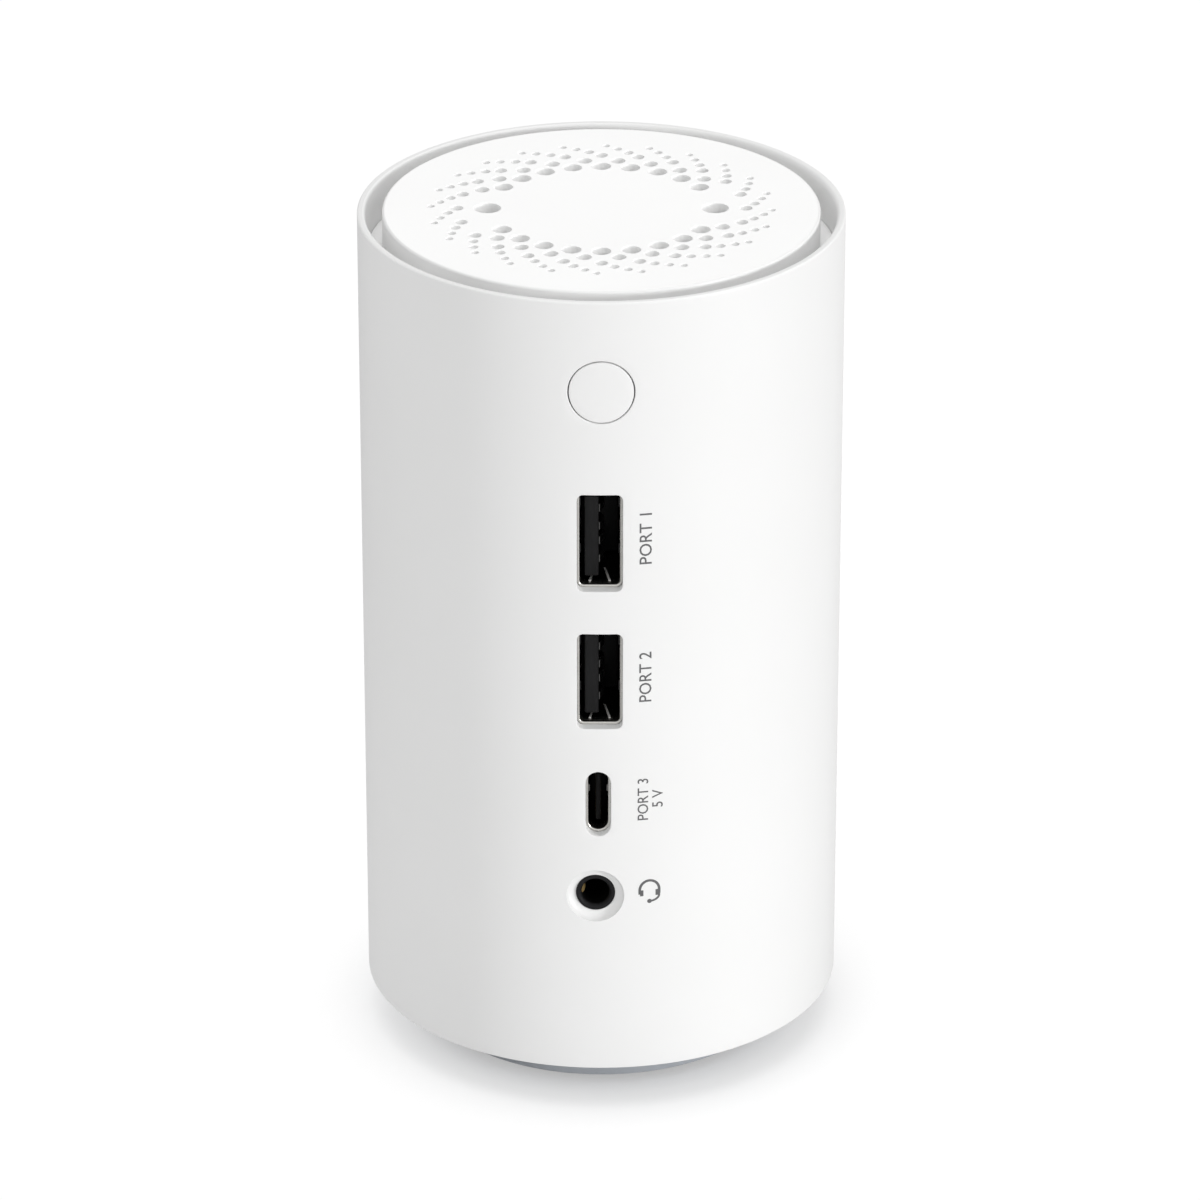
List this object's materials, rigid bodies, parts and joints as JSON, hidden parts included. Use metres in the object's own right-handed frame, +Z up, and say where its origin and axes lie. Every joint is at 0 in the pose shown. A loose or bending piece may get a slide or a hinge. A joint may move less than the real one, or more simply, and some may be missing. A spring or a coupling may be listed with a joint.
{
  "type": "usb hub",
  "caption": "Upright white tube hub for a desk, with a perforated vent cap in a channel at the top, a flush push button, and USB-A, USB-C and headset sockets in line down its front.",
  "frame": {"origin": "centre of the foot ring's underside, on the surface that the hub stands on", "axes": "+Z up along the tube's axis; -Y is the front, where the button and sockets face; +X is to the right as seen from the front"},
  "size_m": [0.0624, 0.0624, 0.1142],
  "materials": {
    "white_plastic": "satin",
    "grey_plastic": "matt",
    "black_plastic": "matt",
    "rubber": "matt",
    "steel": "plain",
    "nickel": "nickel plated",
    "gilt": "gilt",
    "aluminium": "satin",
    "board_green": "solder mask",
    "pad_grey": "matt",
    "ferrite": "matt"
  },
  "bodies": {
    "hub_body": {"outer_shell": "white_plastic", "channel_ring": "white_plastic", "vent_cap": "white_plastic", "base": "grey_plastic", "foot_ring": "rubber", "ballast_disc": "steel", "base_screw_1": "steel", "base_screw_2": "steel", "base_screw_3": "steel", "base_screw_4": "steel", "board_carrier": "black_plastic", "carrier_screw_1": "steel", "carrier_screw_2": "steel", "main_board": "board_green", "board_screw_1": "steel", "board_screw_2": "steel", "board_screw_3": "steel", "board_screw_4": "steel", "usb_a_upper_shell": "nickel", "usb_a_upper_tongue": "black_plastic", "usb_a_lower_shell": "nickel", "usb_a_lower_tongue": "black_plastic", "usb_c_front_shell": "nickel", "usb_c_front_tongue": "black_plastic", "audio_jack_body": "black_plastic", "audio_jack_spring": "gilt", "host_port_shell": "nickel", "host_port_tongue": "black_plastic", "power_inlet_body": "black_plastic", "power_inlet_pin": "nickel", "switch_body": "black_plastic", "hub_controller": "black_plastic", "thermal_pad": "pad_grey", "heat_sink": "aluminium", "audio_codec": "black_plastic", "crystal": "steel", "power_inductor": "ferrite", "bulk_capacitor_1": "aluminium", "bulk_capacitor_2": "aluminium"},
    "button": {"power_button": "white_plastic", "switch_plunger": "black_plastic"}
  },
  "joints": [
    {"name": "button_press", "type": "slide", "parent": "hub_body", "child": "button", "axis": [0, 1, 0], "range_m": [0, 0.0004], "stiffness_N_per_m": 1500, "springref_m": -0.0005}
  ]
}
